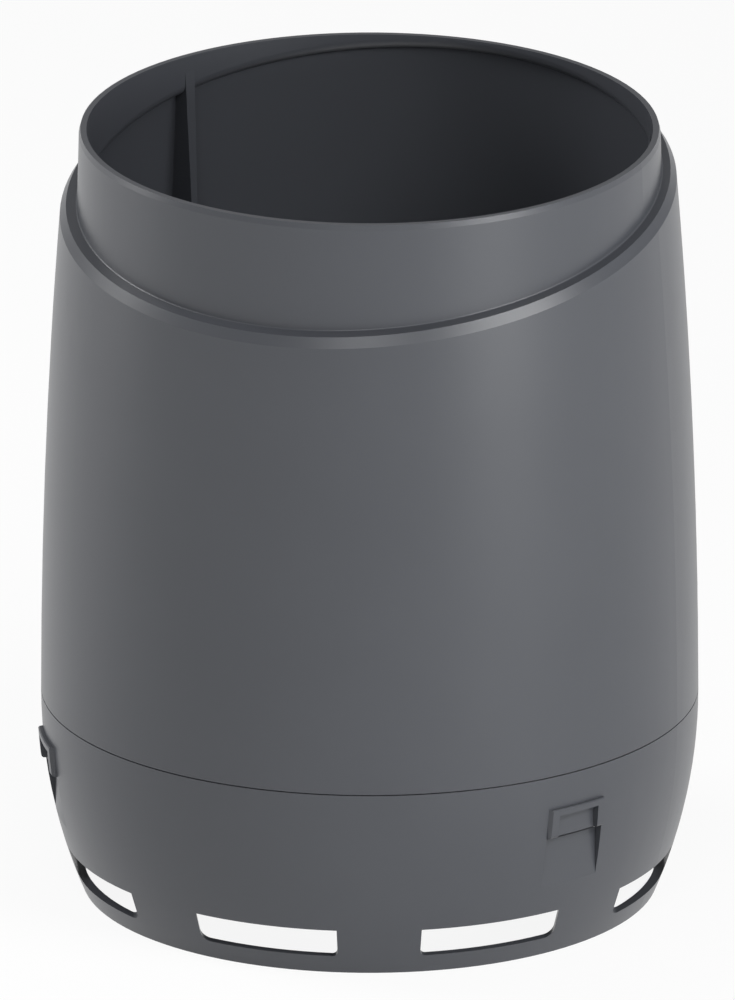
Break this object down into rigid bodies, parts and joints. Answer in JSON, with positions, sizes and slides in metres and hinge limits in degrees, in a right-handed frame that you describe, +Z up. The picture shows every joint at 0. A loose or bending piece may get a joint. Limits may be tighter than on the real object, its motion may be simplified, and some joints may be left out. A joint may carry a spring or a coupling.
{
  "type": "roof vent cowl",
  "caption": "Open-topped plastic roof vent cowl: a barrelled shell with a slanted shoulder and straight collar, snapped onto a drain-slotted lower ring.",
  "frame": {"origin": "centre of the lower ring's bottom edge, on the cowl's axis", "axes": "+Z up along the cowl's axis; -Y towards the side where the shoulder is lowest and the collar stands tallest"},
  "size_m": [0.28, 0.2815, 0.338],
  "materials": {
    "moulded_plastic": "fine matte moulding texture, anthracite grey"
  },
  "bodies": {
    "root": {"upper_cowl": "moulded_plastic", "lower_ring": "moulded_plastic"}
  },
  "joints": []
}
